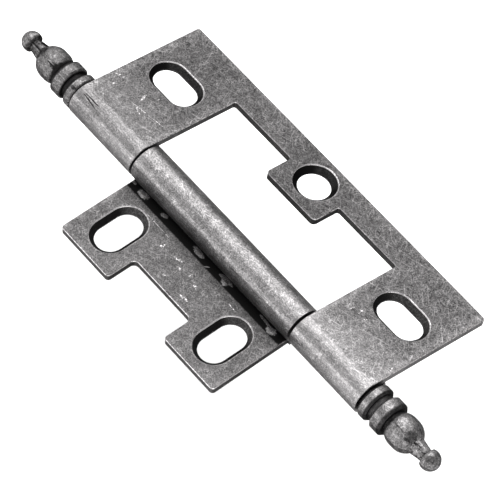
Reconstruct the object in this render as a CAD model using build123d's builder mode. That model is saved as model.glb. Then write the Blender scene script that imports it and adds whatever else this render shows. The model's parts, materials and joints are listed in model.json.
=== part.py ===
# Self mortise cabinet hinge with finial tips.
# Two folded steel leaves turn on one pin. The small leaf nests in the window
# of the large leaf when the hinge is shut, so neither needs a mortise.
#
# Frame: +X runs along the pin, +Y across the outer leaf away from the pin and
# +Z out of its countersunk face. The origin is the middle of the outer leaf's
# two screw slots, on the back face that lies against the wood.

from build123d import *
import os
from math import acos, asin, cos, degrees, radians, sin, tan

os.makedirs("parts", exist_ok=True)

# Sheet and barrel
sheet_thickness = 1.35
barrel_diameter = 6.9
roll_gap = 0.15
edge_break = 0.1

# Pin, with a shoulder at each end and a spigot for the finial beyond it
pin_clearance = 0.05
pin_end_play = 0.25
spigot_diameter = 3.0
spigot_length = 7.5
spigot_chamfer = 0.3

# Outer leaf, every reach measured from the pin's axis
outer_length = 76.2
outer_reach = 25.25
outer_corner = 0.6
window_length = 42.6
rail_width = 5.5
window_corner = 0.5
tab_width = 12.8
tab_corner = 0.9
tab_hole_diameter = 6.0
tab_rim_diameter = 8.2
tab_hole_inset = 5.4
tab_nose = 5.8
outer_slot_reach = 13.3
outer_slot_shift = 0.2

# Inner leaf, opened this far from its place in the window
opening_angle = 189.9
knuckle_gap = 0.5
end_clearance = 0.95
rail_clearance = 0.95
tab_clearance = 1.1
inner_corner = 0.7
shoulder_reach = 2.6
notch_corner = 1.0
inner_slot_spacing = 27.8
inner_slot_reach = 11.4

# Screw slots, alike on both leaves
slot_width = 5.5
slot_length = 9.2
countersink_angle = 90.0
countersink_land = 0.4

# Finial, each station measured outwards from its seat on the pin's shoulder
socket_clearance = 0.02
socket_end_gap = 0.3
collar_diameter = 5.5
collar_end = 0.15
bead_diameter = 6.75
bead_bevel = 0.38
small_bead_end = 2.1
cove_diameter = 5.2
cove_end = 3.05
large_bead_end = 5.65
waist_diameter = 4.5
waist_end = 6.0
bulb_diameter = 6.2
bulb_shoulder = 7.9
bulb_belly = 8.75
neck_diameter = 3.3
throat_diameter = 2.45
throat_end = 13.8
button_diameter = 3.8
button_back = 14.1
button_centre = 14.75

# Worked out from the sizes above
barrel_radius = barrel_diameter / 2
bore_radius = barrel_radius - sheet_thickness
pin_radius = bore_radius - pin_clearance
spigot_radius = spigot_diameter / 2
pin_centre = Vector(0, -outer_slot_reach, sheet_thickness - barrel_radius)
inner_knuckle_length = window_length - 2 * knuckle_gap
inner_length = window_length - 2 * end_clearance
window_reach = outer_reach - rail_width
tab_hole_reach = outer_reach - tab_hole_inset
tab_reach = tab_hole_reach - tab_nose
outer_slot_spacing = (outer_length + window_length) / 2 + 2 * outer_slot_shift
inner_reach = window_reach - rail_clearance
notch_reach = tab_reach - tab_clearance
notch_width = tab_width + 2 * tab_clearance
sink_depth = sheet_thickness - countersink_land
sink_angle = countersink_angle / 2
sink_growth = 2 * sink_depth * tan(radians(sink_angle))
past_part = 2 * outer_reach

# The inner leaf turns about the pin, away from its place in the window
swing = radians(opening_angle)
inner_out = Vector(0, cos(swing), sin(swing))
inner_back = Vector(0, -sin(swing), cos(swing))

# Section planes look along the pin, with x across the leaf
outer_section = Plane(origin=pin_centre, x_dir=(0, 1, 0), z_dir=(1, 0, 0))
inner_section = Plane(origin=pin_centre, x_dir=inner_out, z_dir=(1, 0, 0))

# Face planes lie on the countersunk faces, over the pin's axis, x along the pin
outer_face = Plane(origin=pin_centre + Vector(0, 0, barrel_radius), x_dir=(1, 0, 0), z_dir=(0, 0, 1))
inner_face = Plane(origin=pin_centre + inner_back * bore_radius, x_dir=(1, 0, 0), z_dir=-inner_back)


def rolled_section(plane, reach):
    """Section of one leaf: a flat plate whose edge is rolled into a knuckle round the pin.

    The plate is tangent to the barrel. The roll goes over the far side of the pin and
    under it, and its square-cut end stops a hair short of the plate.
    """
    end_angle = degrees(asin((bore_radius - roll_gap) / barrel_radius))
    roll_angle = 270 + end_angle
    with BuildSketch(plane) as section:
        with BuildLine():
            top = Line((reach, barrel_radius), (0, barrel_radius))
            outside = CenterArc((0, 0), barrel_radius, 90, roll_angle)
            inside = CenterArc((0, 0), bore_radius, 90, roll_angle)
            Line(outside @ 1, inside @ 1)
            under = Line(inside @ 0, (reach, bore_radius))
            Line(under @ 1, top @ 0)
        make_face()
    return section.sketch


def slot_mouths(face, places, turn, growth):
    """Outlines of the screw slots on a face, each grown all round by half of growth."""
    with BuildSketch(face) as mouths:
        with Locations(*places):
            SlotOverall(slot_length + growth, slot_width + growth, rotation=turn)
    return mouths.sketch


def reach_of(edge):
    """How far from the pin's axis the middle of an inner leaf's edge lies, across the leaf."""
    return (edge.center() - pin_centre).dot(inner_out)


# Outer leaf: one sheet with a window, a tab in the window and two end knuckles
with BuildPart() as outer_leaf:
    extrude(rolled_section(outer_section, outer_reach), amount=outer_length / 2, both=True)
    with BuildSketch(outer_face):
        with BuildLine():
            Polyline(
                (-window_length / 2, -outer_reach),
                (-window_length / 2, window_reach),
                (-tab_width / 2, window_reach),
                (-tab_width / 2, tab_reach),
                (tab_width / 2, tab_reach),
                (tab_width / 2, window_reach),
                (window_length / 2, window_reach),
                (window_length / 2, -outer_reach),
                close=True,
            )
        make_face()
        fillet(vertices().group_by(Axis.Y)[2], window_corner)
        fillet(vertices().group_by(Axis.Y)[1], tab_corner)
    extrude(amount=-past_part, both=True, mode=Mode.SUBTRACT)
    fillet(edges().filter_by(Axis.Z).group_by(Axis.Y)[-1], outer_corner)
    slots = [(-outer_slot_spacing / 2, outer_slot_reach), (outer_slot_spacing / 2, outer_slot_reach)]
    extrude(slot_mouths(outer_face, slots, 0, sink_growth), amount=-sink_depth, taper=sink_angle,
            mode=Mode.SUBTRACT)
    extrude(slot_mouths(outer_face, slots, 0, 0), amount=-2 * sheet_thickness, mode=Mode.SUBTRACT)
    with Locations(outer_face):
        with Locations((0, tab_hole_reach)):
            CounterSinkHole(tab_hole_diameter / 2, tab_rim_diameter / 2,
                            counter_sink_angle=countersink_angle)
    rims = faces().sort_by(Axis.Z)[-1].edges().filter_by(lambda edge: edge.center().Y > pin_centre.Y)
    chamfer(rims, edge_break)

# Inner leaf: one sheet with a notch for the tab and one long middle knuckle
with BuildPart() as inner_leaf:
    extrude(rolled_section(inner_section, inner_reach), amount=inner_knuckle_length / 2, both=True)
    with BuildSketch(inner_face):
        with Locations((0, -shoulder_reach)):
            Rectangle(2 * inner_length, inner_reach, align=(Align.CENTER, Align.MAX))
            Rectangle(inner_length, inner_reach, align=(Align.CENTER, Align.MAX), mode=Mode.SUBTRACT)
    extrude(amount=-2 * sheet_thickness, mode=Mode.SUBTRACT)
    with BuildSketch(inner_face):
        with Locations((0, -notch_reach)):
            Rectangle(notch_width, inner_reach, align=(Align.CENTER, Align.MAX))
        fillet(vertices().group_by(Axis.Y)[-1], notch_corner)
    extrude(amount=past_part, both=True, mode=Mode.SUBTRACT)
    corners = edges().filter_by(Axis(pin_centre, inner_back)).filter_by(
        lambda edge: reach_of(edge) > (inner_reach + notch_reach) / 2)
    fillet(corners, inner_corner)
    slots = [(-inner_slot_spacing / 2, -inner_slot_reach), (inner_slot_spacing / 2, -inner_slot_reach)]
    extrude(slot_mouths(inner_face, slots, 90, sink_growth), amount=-sink_depth, taper=sink_angle,
            mode=Mode.SUBTRACT)
    extrude(slot_mouths(inner_face, slots, 90, 0), amount=-2 * sheet_thickness, mode=Mode.SUBTRACT)
    sunk_face = faces().filter_by(inner_face).sort_by(Axis(pin_centre, -inner_back))[-1]
    chamfer(sunk_face.edges().filter_by(lambda edge: reach_of(edge) > barrel_radius), edge_break)

# Pin: a turned rod with a shoulder and a spigot at each end
upper_seat = pin_centre - Vector(outer_length / 2, 0, 0)
lower_seat = pin_centre + Vector(outer_length / 2 + pin_end_play, 0, 0)
shank_length = outer_length + pin_end_play
with BuildPart() as hinge_pin:
    with BuildSketch(Plane(origin=upper_seat, x_dir=(0, 1, 0), z_dir=(1, 0, 0))):
        Circle(pin_radius)
    extrude(amount=shank_length)
    with BuildSketch(Plane(origin=upper_seat, x_dir=(0, 1, 0), z_dir=(-1, 0, 0))):
        Circle(spigot_radius)
    extrude(amount=spigot_length)
    with BuildSketch(Plane(origin=lower_seat, x_dir=(0, 1, 0), z_dir=(1, 0, 0))):
        Circle(spigot_radius)
    extrude(amount=spigot_length)
    ends = faces().filter_by(Axis.X).sort_by(Axis.X)
    chamfer([ends[0].edge(), ends[-1].edge()], spigot_chamfer)


def finial_section(plane):
    """Half section of a finial, x outwards from its seat along the pin and y its radius.

    Collar, small bead, cove, large bead, waist, bulb, tapered neck and end button,
    round a blind socket for the pin's spigot.
    """
    bead_radius = bead_diameter / 2
    socket_radius = spigot_radius + socket_clearance
    socket_end = spigot_length + socket_end_gap
    bulb_radius = bulb_diameter / 2
    shoulder_start = 180 - degrees(acos((bulb_shoulder - waist_end) / bulb_radius))
    belly_stop = degrees(asin(neck_diameter / bulb_diameter))
    button_start = degrees(acos((button_back - button_centre) / (button_diameter / 2)))
    with BuildSketch(plane) as section:
        with BuildLine():
            shoulder = CenterArc((bulb_shoulder, 0), bulb_radius, shoulder_start, 90 - shoulder_start)
            belly = CenterArc((bulb_belly, 0), bulb_radius, 90, belly_stop - 90)
            button = CenterArc((button_centre, 0), button_diameter / 2, button_start, -button_start)
            Line(shoulder @ 1, belly @ 0)
            Polyline(belly @ 1, (throat_end, throat_diameter / 2), button @ 0)
            Polyline(
                button @ 1,
                (socket_end, 0),
                (socket_end, socket_radius),
                (0, socket_radius),
                (0, collar_diameter / 2),
                (collar_end, collar_diameter / 2),
                (collar_end, bead_radius),
                (small_bead_end, bead_radius),
                (small_bead_end, cove_diameter / 2),
                (cove_end, cove_diameter / 2),
                (cove_end, bead_radius),
                (large_bead_end, bead_radius),
                (large_bead_end, waist_diameter / 2),
                (waist_end, waist_diameter / 2),
                shoulder @ 0,
            )
        make_face()
        chamfer(vertices().group_by(Axis.Y)[-1], bead_bevel)
    return section.sketch


# Finials: the same tip pressed on each end of the pin, facing outwards
with BuildPart() as upper_finial:
    revolve(finial_section(Plane(origin=upper_seat, x_dir=(-1, 0, 0), z_dir=(0, -1, 0))),
            axis=Axis(upper_seat, (1, 0, 0)))

with BuildPart() as lower_finial:
    revolve(finial_section(Plane(origin=lower_seat, x_dir=(1, 0, 0), z_dir=(0, -1, 0))),
            axis=Axis(lower_seat, (1, 0, 0)))

pieces = {
    "outer_leaf": outer_leaf,
    "inner_leaf": inner_leaf,
    "hinge_pin": hinge_pin,
    "upper_finial": upper_finial,
    "lower_finial": lower_finial,
}
for name, piece in pieces.items():
    piece.part.label = name
    export_step(piece.part, f"parts/{name}.step")
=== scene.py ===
# Looks of a self mortise cabinet hinge with finial tips, in tumbled antique pewter.
# The CAD nodes keep their shape. Each gets a plating whose dark first coat stays in
# the recesses and is burnished off the flats, the barrel and the edges. Painted
# highlights and painted shade are added on the barrels, the finials, the edges and
# walls, and in the groove beside the inner knuckle.
import bpy
import json
from math import cos, degrees, radians, sin
from mathutils import Matrix, Vector


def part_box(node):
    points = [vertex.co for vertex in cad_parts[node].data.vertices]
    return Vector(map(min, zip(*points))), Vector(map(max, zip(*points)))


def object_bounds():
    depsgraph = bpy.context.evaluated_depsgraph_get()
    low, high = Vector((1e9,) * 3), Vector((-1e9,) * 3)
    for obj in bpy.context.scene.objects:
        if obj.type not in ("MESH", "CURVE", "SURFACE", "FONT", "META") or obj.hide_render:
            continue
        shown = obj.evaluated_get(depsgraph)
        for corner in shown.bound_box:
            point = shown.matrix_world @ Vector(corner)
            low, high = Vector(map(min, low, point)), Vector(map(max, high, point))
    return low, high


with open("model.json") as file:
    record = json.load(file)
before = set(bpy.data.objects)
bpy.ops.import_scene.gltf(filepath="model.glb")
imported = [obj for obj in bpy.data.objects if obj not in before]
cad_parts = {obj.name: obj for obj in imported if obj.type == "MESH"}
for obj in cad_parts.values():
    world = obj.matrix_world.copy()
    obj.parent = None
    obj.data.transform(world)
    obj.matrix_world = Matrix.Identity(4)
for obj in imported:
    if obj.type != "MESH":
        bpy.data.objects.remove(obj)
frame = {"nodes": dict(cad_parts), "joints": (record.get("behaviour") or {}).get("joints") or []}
cad_low, cad_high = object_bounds()

# Outer leaf: pressed from sheet steel, with its window, tab, slots and screw hole punched
# and its edge rolled into two knuckles. Tumbling wears the upper edges bright and leaves
# the first coat in the countersinks and on the sheared walls. A painted highlight is added
# on the edges that face +x, and painted shade on the walls and countersinks by the way they face.
mm = 0.001
pin_centre = Vector(frame["joints"][0]["pos_m"]) / mm
leaf_half_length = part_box("outer_leaf")[1].x / mm
outer_reach = cad_high[1] / mm - pin_centre.y
sheet = cad_high[2] / mm
barrel_radius = sheet - pin_centre.z
window_half_length = 21.3
window_reach = 19.75
broken_edge = 0.1

first_coat = (0.00618, 0.006, 0.00603, 1)
tumbled_pewter = (0.08446, 0.082, 0.08241, 1)
grazing_tint = (0.45, 0.45, 0.45, 1)

# Where its flats are rubbed bright, and two dents in the upper knuckle with the metal
# that they raised: place along the pin, place across or round the barrel, then half
# length, half width and turn in degrees.
OUTER_RUBS = (
    (-35.7, -9.6, 0.14, 1.0, 5),
    (-36.8, -7.3, 0.5, 0.16, 40),
    (-35.9, -7.0, 0.15, 0.6, 10),
    (-28.7, -9.6, 0.9, 0.25, -20),
    (-27.1, -8.8, 4.8, 0.07, 9),
    (-30.4, -6.9, 0.2, 0.9, 15),
    (-28.7, -4.9, 0.1, 0.5, 0),
    (24.1, -5.9, 0.12, 0.8, -10),
    (25.5, -5.8, 0.15, 0.5, 10),
    (27.1, -5.7, 0.4, 0.12, 50),
    (26.0, -4.6, 1.0, 0.08, 35),
    (24.5, -11.4, 0.4, 0.12, -35),
    (37.3, -8.8, 0.12, 0.4, 20),
)
KNUCKLE_DENTS = (
    (-34.9, 6.9, 1.8, 0.13, 0),
    (-34.8, 7.4, 1.9, 0.15, 7),
)
KNUCKLE_BURRS = (
    (-34.8, 7.1, 1.5, 0.09, 2),
    (-34.9, 7.6, 1.6, 0.08, 7),
)


class Wire:
    """A socket of a material's node tree. Arithmetic on it adds Math nodes."""

    def __init__(self, tree, socket):
        self.tree = tree
        self.socket = socket

    def node(self, kind, *values, output=0, named=None, **settings):
        """Adds a node and returns one of its outputs.

        The settings are set first. The values or links then fill the first inputs, and
        those in named fill inputs by name or number.
        """
        made = self.tree.nodes.new("ShaderNode" + kind)
        for key, setting in settings.items():
            setattr(made, key, setting)
        for place, value in [*enumerate(values), *(named or {}).items()]:
            if isinstance(value, Wire):
                self.tree.links.new(value.socket, made.inputs[place])
            else:
                made.inputs[place].default_value = value
        return Wire(self.tree, made.outputs[output])

    def math(self, operation, *values):
        return self.node("Math", *values, operation=operation)

    def __add__(self, other):
        return self.math("ADD", self, other)

    def __radd__(self, other):
        return self.math("ADD", other, self)

    def __sub__(self, other):
        return self.math("SUBTRACT", self, other)

    def __rsub__(self, other):
        return self.math("SUBTRACT", other, self)

    def __mul__(self, other):
        return self.math("MULTIPLY", self, other)

    def __rmul__(self, other):
        return self.math("MULTIPLY", other, self)

    def __truediv__(self, other):
        return self.math("DIVIDE", self, other)

    def __rtruediv__(self, other):
        return self.math("DIVIDE", other, self)

    def __abs__(self):
        return self.math("ABSOLUTE", self)

    def at_least(self, other):
        return self.math("MAXIMUM", self, other)

    def step(self, start, end):
        """0 up to start and 1 past end, with a smooth change between; start may be the larger."""
        rising = start < end
        low, high = (start, end) if rising else (end, start)
        ends = (0.0, 1.0) if rising else (1.0, 0.0)
        return self.node("MapRange", self, low, high, *ends, interpolation_type="SMOOTHSTEP")

    def band(self, start, full, fade, end):
        """Rises from 0 at start to 1 at full, and falls from fade to 0 at end."""
        return self.step(start, full) * self.step(end, fade)

    def along(self, direction):
        """The part of this vector that lies along a direction."""
        return self.node("VectorMath", self, tuple(direction), operation="DOT_PRODUCT", output="Value")

    @property
    def x(self):
        return self.along((1, 0, 0))

    @property
    def y(self):
        return self.along((0, 1, 0))

    @property
    def z(self):
        return self.along((0, 0, 1))

    def shift(self, offset):
        return self.node("VectorMath", self, tuple(offset), operation="ADD")

    def scaled(self, factors):
        return self.node("VectorMath", self, tuple(factors), operation="MULTIPLY")

    def angle(self):
        """Angle of this vector round the x axis, in radians from +Y towards +Z."""
        return self.math("ARCTAN2", self.z, self.y)

    def from_axis(self):
        """Distance of this point from the x axis."""
        square_on = self.scaled((0, 1, 1))
        return self.node("VectorMath", square_on, operation="LENGTH", output="Value")

    def noise(self, size, detail=2.0, stretch=1, turn=0):
        """Cloudy noise from 0 to 1 with blotches of about this size.

        stretch draws them out along a line that is turned from the x axis by some degrees.
        """
        turned = self.node("Mapping", self, (0, 0, 0), (0, 0, radians(turn)), (1, 1, 1),
                           vector_type="TEXTURE")
        pattern = turned.scaled((1 / (size * stretch), 1 / size, 1 / size))
        return self.node("TexNoise", pattern, named={"Scale": 1.0, "Detail": detail, "Roughness": 0.6})

    def winding_lines(self, size, offset):
        """Thin lines, 1 on a line and 0 beside it, where noise of this size crosses its middle."""
        field = self.shift((offset, offset, offset)).noise(size, detail=1.0)
        return abs(field - 0.5).step(0.05, 0.0)


def marks(across, up, ragged, places):
    """Soft-edged patches, 1 inside and 0 outside, on two coordinates.

    Each place is its two coordinates, half its length, half its width and its turn in
    degrees. ragged is noise about 0 that breaks up the outlines.
    """
    patches = []
    for centre, height, half_length, half_width, turn in places:
        lean = radians(turn)
        lengthwise = ((across - centre) * cos(lean) + (up - height) * sin(lean)) / half_length
        crosswise = ((up - height) * cos(lean) - (across - centre) * sin(lean)) / half_width
        spread = lengthwise * lengthwise + crosswise * crosswise
        patches.append((spread + ragged).step(1.3, 0.7))
    return sum(patches)


def ragged_outline(place):
    return 2.0 * (place.noise(0.6) - 0.5)


def rubbed_bright(place, across, up, places):
    """Places where the metal shows through in crumbs."""
    crumbs = place.noise(0.3).step(0.42, 0.6)
    return marks(across, up, 1.5 * ragged_outline(place), places) * crumbs


def rolling_streaks(place):
    return place.noise(0.2, stretch=14) - 0.5


def cut_surfaces(height, facing, plate):
    """A leaf's flat top, broken edges, sheared walls and countersinks, each as a mask.

    They are told apart by the height above the leaf's back and by how far the surface
    faces the side with the countersinks.
    """
    top = height.step(sheet - broken_edge - 0.06, sheet - broken_edge)
    below = (1 - top) * plate
    flat = facing.step(0.96, 0.995)
    edge = top * (1 - flat) * plate
    wall = abs(facing).step(0.5, 0.3) * below
    sink = facing.band(0.3, 0.5, 0.8, 0.9) * below
    return flat, edge, wall, sink


def plated(material_name, names, wear_and_painted_light):
    """Pewter plating on some nodes. wear(place, normal) gives two numbers for each point.

    The first says how far it is burnished, with painted highlights and painted shade added
    in: 0 is the dark first coat, 1 the tumbled flats and 2 a polished barrel or worn edge.
    The second is the strength of the tumbling marks.
    Places are in millimetres.
    """
    material = bpy.data.materials.new(material_name)
    material.use_nodes = True
    tree = material.node_tree
    shader = tree.nodes["Principled BSDF"]
    coordinates = tree.nodes.new("ShaderNodeTexCoord")
    place = Wire(tree, coordinates.outputs["Object"]).scaled((1 / mm, 1 / mm, 1 / mm))
    normal = Wire(tree, coordinates.outputs["Normal"])
    burnish_and_painted_light, tumbled = wear_and_painted_light(place, normal)

    grain = place.noise(0.25)
    mottle = place.noise(0.9)
    cloud = place.noise(7.0)
    light_rubs = place.winding_lines(0.8, 0)
    dark_rubs = place.winding_lines(0.7, 370)
    rubbed_here = place.noise(1.6).step(0.42, 0.6)
    scratches = 0.0
    for turn, length, offset in ((18, 30, 100), (-37, 22, 300), (71, 26, 500), (118, 18, 700)):
        lines = place.shift((offset, offset, offset)).noise(0.2, detail=1.0, stretch=length, turn=turn)
        scratches = lines.step(0.64, 0.72) + scratches

    # The specks' dark side is cut off: the photograph shows bright crumbs and few pits.
    specks = grain.at_least(0.44) - 0.515
    texture = 3.9 * specks + 1.2 * (mottle - 0.5) + 0.9 * scratches
    texture = texture + 1.3 * rubbed_here * light_rubs - 0.4 * dark_rubs
    tone = (burnish_and_painted_light * (1.0 + 0.7 * (cloud - 0.5) + tumbled * texture)).at_least(0.0)
    colour = tone.node("Mix", tone, named={6: first_coat, 7: tumbled_pewter}, output=2,
                       data_type="RGBA", clamp_factor=False)
    tree.links.new(colour.socket, shader.inputs["Base Color"])
    roughness = 0.62 - 0.15 * burnish_and_painted_light - 0.12 * (grain - 0.5)
    tree.links.new(roughness.socket, shader.inputs["Roughness"])
    relief = grain + 0.6 * mottle + 0.3 * light_rubs - 0.4 * dark_rubs
    bump = relief.node("Bump", 0.35, 0.03 * mm, named={"Height": relief})
    tree.links.new(bump.socket, shader.inputs["Normal"])
    shader.inputs["Metallic"].default_value = 1.0
    shader.inputs["Specular Tint"].default_value = grazing_tint
    for name in names:
        for slot in frame["nodes"][name].material_slots:
            slot.material = material


def outer_wear_and_painted_light(place, normal):
    from_pin = place.shift(-pin_centre)
    reach = from_pin.y
    facing = normal.z
    plate = reach.step(-0.3, 0.3)
    barrel = 1.0 - plate
    flat, edge, wall, sink = cut_surfaces(place.z, facing, plate)

    # The flats grow brighter towards the barrel, towards the lower end and along the
    # outline, and stay darker on the tab.
    down_the_leaf = place.x / leaf_half_length
    from_middle = abs(place.x)
    near_roll = reach.step(12, 0)
    at_roll = reach.step(4, 1) * plate
    worn_ends = from_middle.step(leaf_half_length - 2.1, leaf_half_length - 0.8)
    beside_window = from_middle.band(window_half_length - 1.3, window_half_length - 0.3,
                                     window_half_length + 0.5, window_half_length + 1.5)
    beside_window = beside_window * reach.step(window_reach + 0.25, window_reach - 0.75)
    far_edge = 0.5 * reach.step(outer_reach - 1.45, outer_reach - 0.35)
    worn = worn_ends.at_least(beside_window).at_least(far_edge)
    upper_end = place.x.step(5.8 - leaf_half_length, 1.6 - leaf_half_length)
    tab = from_middle.step(9, 6)
    flats = 0.74 + 0.1 * down_the_leaf + (0.42 + 0.12 * down_the_leaf) * near_roll + 0.14 * at_roll
    flats = flats + (0.25 - 0.12 * barrel) * worn + 0.08 * upper_end * plate - 0.1 * tab

    # The barrel is polished. Painted light brightens it where it turns away from the top,
    # painted shade darkens its underside, and a darker band runs along it part way round.
    round_barrel = from_pin.angle() * barrel_radius
    painted_lit_side = facing.step(0.96, 0.82)
    painted_shade_under = facing.step(0.25, -0.1)
    darker_band = round_barrel.band(7.6, 7.9, 8.3, 8.6)
    dents = marks(place.x, round_barrel, ragged_outline(place), KNUCKLE_DENTS)
    burrs = marks(place.x, round_barrel, ragged_outline(place), KNUCKLE_BURRS)
    rolled = 0.5 + 0.25 * painted_lit_side - 0.5 * painted_shade_under - 0.22 * darker_band
    rolled = rolled + 1.6 * rolling_streaks(place) - 1.2 * dents + 0.8 * burrs

    bright = rubbed_bright(place, place.x, place.y, OUTER_RUBS) * flat * plate
    # Worn edges, with a painted highlight on those facing +x. The coated walls and countersinks get
    # painted shade that is lighter where they face -y.
    worn_and_lit_edge = edge * (1.7 + 5.0 * normal.x.step(0.3, 0.6))
    coated_and_shaded_wall = (0.45 - 0.15 * normal.y.step(-0.5, -0.9)) * wall
    coated_and_shaded_sink = (0.74 - 0.2 * normal.y.step(-0.2, -0.6)) * sink
    end_face = normal.x.step(0.7, 0.9) * place.x.step(leaf_half_length - 1.1, leaf_half_length - 0.2)
    burnish_and_painted_light = flats + barrel * rolled + worn_and_lit_edge - coated_and_shaded_wall - coated_and_shaded_sink
    burnish_and_painted_light = burnish_and_painted_light + 0.4 * end_face + 1.6 * bright
    return burnish_and_painted_light, 1.05 - 0.3 * near_roll - 0.2 * barrel - 0.5 * wall - 0.3 * worn_and_lit_edge


plated("pewter_outer_leaf", ["outer_leaf"], outer_wear_and_painted_light)

# Inner leaf: pressed from the same sheet to fit the window, with a notch for the tab,
# slots across it and one long knuckle, opened a little past flat. The groove beside the
# knuckle keeps its first coat, which tumbling hardly reaches, and is darkened further by
# painted shade where the knuckle meets the plate.
opened = radians(-frame["joints"][0]["range_deg"][0])
inner_out = Vector((0, cos(opened), sin(opened)))
inner_back = Vector((0, -sin(opened), cos(opened)))
end_gap = 0.95
inner_half_length = window_half_length - end_gap
groove_reach = 4.85

# Where the groove is rubbed clean and where the flats are rubbed bright: place along
# the pin and reach from it, half length, half width and turn.
GROOVE_PATCHES = (
    (-16.95, 3.7, 1.3, 0.65, 0),
    (-11.4, 3.55, 0.85, 0.4, -10),
    (-2.1, 3.6, 1.4, 0.55, 8),
    (5.0, 3.4, 1.6, 0.45, 0),
    (5.3, 3.95, 0.7, 0.6, 0),
    (15.3, 3.4, 1.5, 0.25, 5),
    (17.4, 3.85, 1.05, 0.7, 0),
    (-20.0, 3.4, 0.7, 0.3, 0),
    (1.05, 4.35, 0.6, 0.09, -42),
)
INNER_RUBS = (
    (-6.8, 7.6, 0.3, 0.45, 0),
    (-3.0, 7.2, 1.0, 0.22, -12),
    (-1.4, 8.2, 0.4, 0.14, 35),
    (0.7, 7.5, 0.3, 0.35, 0),
    (2.8, 8.35, 0.55, 0.22, 20),
    (-2.1, 11.0, 0.28, 0.25, 0),
    (3.6, 11.3, 0.9, 0.3, -5),
    (-12.5, 5.65, 4.6, 0.07, 1),
    (9.9, 6.1, 1.0, 0.09, 3),
)


def inner_wear_and_painted_light(place, normal):
    from_pin = place.shift(-pin_centre)
    reach = from_pin.along(inner_out)
    height = barrel_radius - from_pin.along(inner_back)
    facing = normal.along(-inner_back)
    plate = from_pin.from_axis().step(barrel_radius + 0.05, barrel_radius + 0.2)
    barrel = 1.0 - plate
    flat, edge, wall, sink = cut_surfaces(height, facing, plate)

    towards_edge = reach.step(12, 18)
    worn_ends = abs(place.x).step(inner_half_length - 1.35, inner_half_length - 0.15)
    # Worn edges, with a painted highlight on those facing +x.
    worn_and_lit_edge = edge * (2.0 + 5.0 * normal.x.step(0.3, 0.6))
    plain = 0.72 + 0.1 * towards_edge + 0.15 * worn_ends + worn_and_lit_edge

    # The groove's coat and painted shade end in a ragged line and thin out over the flat beside it.
    ragged = ragged_outline(place)
    face = plate * facing.step(0.5, 0.9)
    groove_coat_and_shade_edge = (reach + 0.15 * ragged).step(groove_reach, groove_reach - 0.35)
    groove_coat_and_shade = (groove_coat_and_shade_edge + 0.18 * reach.step(7.5, 4.9)) * face
    bare = marks(place.x, reach, ragged, GROOVE_PATCHES) * face
    bright = rubbed_bright(place, place.x, reach, INNER_RUBS) * flat
    # The coated walls and countersinks get painted shade that is lighter where they face -y.
    coated_and_shaded_wall = (0.45 - 0.35 * normal.y.step(-0.5, -0.9)) * wall
    coated_and_shaded_sink = (0.68 - 0.35 * normal.y.step(-0.2, -0.6)) * sink

    # The knuckle is polished on top. Painted shade darkens its side towards the window and,
    # more, its side towards the groove.
    shaded_window_side = normal.y.step(0.0, 0.35) * normal.z.step(0.2, 0.6)
    shaded_groove_side = normal.z.step(0.54, 0.34) * normal.y.step(-0.1, -0.4)
    knuckle = 0.93 - 0.65 * shaded_window_side - 0.85 * shaded_groove_side + 1.2 * rolling_streaks(place)

    burnish_and_painted_light = plain + barrel * knuckle - coated_and_shaded_wall - coated_and_shaded_sink - 0.72 * groove_coat_and_shade
    burnish_and_painted_light = burnish_and_painted_light + 1.7 * bare + 1.8 * bright
    return burnish_and_painted_light, 0.85 - 0.12 * barrel - 0.5 * wall - 0.2 * worn_and_lit_edge


plated("pewter_inner_leaf", ["inner_leaf"], inner_wear_and_painted_light)


# Pin: drawn steel rod, seen only in the thin gaps between the knuckles, where the
# first coat stays.
def pin_wear(place, normal):
    drawing_lines = place.noise(0.4, stretch=12)
    return 0.1 + 0.6 * drawing_lines, 0.5


plated("pewter_pin", ["hinge_pin"], pin_wear)

# Finials: die-cast tips, tumbled with the rest. The grooves beside the beads and the foot
# of the neck keep the dark coat, the tops are burnished and carry a painted highlight,
# the backs carry painted shade and the fronts painted light, a painted shadow lies where
# the neck meets the button, and a parting line of the mould runs along each. Stations are
# measured outwards from the end of the knuckle.
upper_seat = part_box("upper_finial")[1].x / mm
lower_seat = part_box("lower_finial")[0].x / mm
angle_step = 20

# Each mark gives its station, its angle round the axis in steps of 20 degrees, half its
# length, half its width and its turn. The broad dark marks on the bulbs beside the neck
# are painted dark reflections.
UPPER_DARK = (
    (12.6, 6.25, 1.4, 0.28, 0),
    (12.6, 3.2, 1.4, 1.0, 0),
    (6.3, 6.2, 0.45, 1.4, 0),
    (6.9, 6.4, 0.7, 0.6, 0),
    (7.3, 6.5, 1.3, 0.13, 0),
    (1.0, 6.5, 0.6, 0.25, 0),
    (10.9, 5.5, 0.7, 2.6, 0),
)
UPPER_BRIGHT = (
    (12.6, 6.85, 1.3, 0.25, 0),
    (7.7, 6.3, 0.8, 0.09, 0),
    (4.0, 6.6, 0.9, 0.09, 0),
)
LOWER_DARK = (
    (10.6, 5.75, 0.9, 1.4, 0),
    (10.4, 3.25, 1.1, 0.16, -5),
    (12.6, 6.0, 1.3, 0.5, 0),
    (8.0, 6.15, 1.4, 0.12, 0),
    (15.4, 6.2, 0.75, 1.1, 0),
)
LOWER_BRIGHT = ((12.6, 3.6, 1.2, 1.3, 0),)


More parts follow.
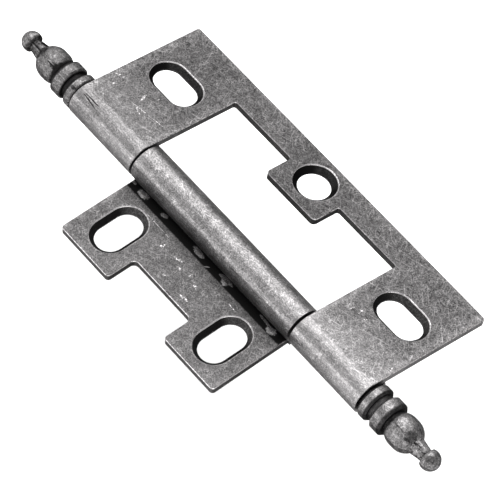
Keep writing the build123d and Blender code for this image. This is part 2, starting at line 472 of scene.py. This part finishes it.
def finial_wear_and_painted_light(place, normal):
    station = (place.x - lower_seat).at_least(upper_seat - place.x)
    lower = place.x.step(-1, 1)
    upper = 1.0 - lower
    turned = place.shift(-pin_centre).angle() * degrees(1)
    # Painted light by the angle round the axis: a highlight on the top, which is also rubbed brighter,
    # painted shade on the back and more light on the front.
    rubbed_and_lit_top = turned.band(62, 80, 112, 132)
    painted_shade_back = turned.step(68, 55)
    painted_lit_side = turned.step(122, 150)

    collar = station.step(0.45, 0.15)
    small_groove = station.band(1.5, 1.8, 3.05, 3.3)
    large_groove = station.band(4.8, 5.2, 6.2, 6.7)
    neck = station.band(11.2, 11.5, 13.7, 14.0)
    # Painted shadow in the corner where the neck meets the button.
    shaded_button_root = station.band(13.65, 13.95, 14.2, 14.55)
    button = station.step(13.7, 14.1)
    recess = (0.9 - 0.12 * lower) * small_groove.at_least(large_groove).at_least(collar)

    blotch = place.noise(0.7) - 0.5
    round_axis = turned / angle_step
    dark_marks = upper * marks(station, round_axis, 2.0 * blotch, UPPER_DARK)
    dark_marks = dark_marks + lower * marks(station, round_axis, 2.0 * blotch, LOWER_DARK)
    bright_marks = upper * marks(station, round_axis, 2.0 * blotch, UPPER_BRIGHT)
    bright_marks = bright_marks + lower * marks(station, round_axis, 2.0 * blotch, LOWER_BRIGHT)

    rub_and_painted_light_round_axis = (0.15 + 0.2 * lower) * rubbed_and_lit_top - 0.35 * painted_shade_back + (0.1 + 0.3 * lower) * painted_lit_side
    burnish_and_painted_light = 1.0 + 0.1 * lower + rub_and_painted_light_round_axis + 1.8 * blotch + 0.1 * button - 0.5 * shaded_button_root
    burnish_and_painted_light = burnish_and_painted_light + neck * ((1.5 + 3.5 * lower) * blotch - 0.45 * upper)
    burnish_and_painted_light = burnish_and_painted_light - 0.7 * dark_marks + 0.9 * bright_marks
    return (burnish_and_painted_light * (1.0 - recess)).at_least(0.08), 0.8


plated("pewter_finials", ["upper_finial", "lower_finial"], finial_wear_and_painted_light)

# Floor: plain, pale and matt. It lies just below the leaf's lowest swing.
floor_level = -24 * mm
floor_size = 8.0
bpy.ops.mesh.primitive_plane_add(size=floor_size, location=(0, 0, floor_level))
floor = bpy.context.object
floor.name = "floor"
floor_material = bpy.data.materials.new("floor")
floor_material.use_nodes = True
floor_shader = floor_material.node_tree.nodes["Principled BSDF"]
floor_shader.inputs["Base Color"].default_value = (0.95, 0.95, 0.95, 1)
floor_shader.inputs["Roughness"].default_value = 0.9
floor.data.materials.append(floor_material)

# Soft studio light: a white room with one dim side, which gives the metal its dark
# outlines, a large box overhead and a low one in front that lights the barrel's side.
dim_direction = (0.64, 0.72, 0.26)
room_strength = 1.8
dim_loss = 1.2
world = bpy.context.scene.world or bpy.data.worlds.new("studio")
bpy.context.scene.world = world
world.use_nodes = True
sky = world.node_tree.nodes["Background"]
sky.inputs["Color"].default_value = (1, 1, 1, 1)
outwards = world.node_tree.nodes.new("ShaderNodeTexCoord")
dim_side = Wire(world.node_tree, outwards.outputs["Generated"]).along(dim_direction).step(0.35, 0.85)
world.node_tree.links.new((room_strength - dim_loss * dim_side).socket, sky.inputs["Strength"])


def softbox(name, direction, distance, width, height, watts):
    """An area light that faces the hinge from a direction."""
    lamp = bpy.data.lights.new(name, "AREA")
    lamp.shape = "RECTANGLE"
    lamp.size = width
    lamp.size_y = height
    lamp.energy = watts
    holder = bpy.data.objects.new(name, lamp)
    bpy.context.collection.objects.link(holder)
    aim = Vector(direction).normalized()
    holder.location = aim * distance
    holder.rotation_euler = (-aim).to_track_quat("-Z", "Y").to_euler()


softbox("overhead", (-0.40, 0.18, 0.90), 1.2, 1.2, 0.9, 12.5)
softbox("low_front", (-0.40, -0.90, 0.17), 1.2, 1.0, 0.35, 3.1)

# Camera, placed where a fit to the photograph's outline puts it, with a long lens.
camera_place = Vector((238.3, -311.9, 443.2)) * mm
camera_target = Vector((4.72, -11.85, 0)) * mm
camera_roll = radians(15.784)
lens = bpy.data.cameras.new("camera")
lens.lens = 251.52
lens.sensor_width = 36.0
lens.clip_start = 0.01
camera = bpy.data.objects.new("camera", lens)
bpy.context.collection.objects.link(camera)
aim = (camera_target - camera_place).to_track_quat("-Z", "Y").to_matrix()
aim = aim @ Matrix.Rotation(camera_roll, 3, "Z")
camera.matrix_world = Matrix.Translation(camera_place) @ aim.to_4x4()
bpy.context.scene.camera = camera
bpy.context.scene.view_settings.view_transform = "Standard"
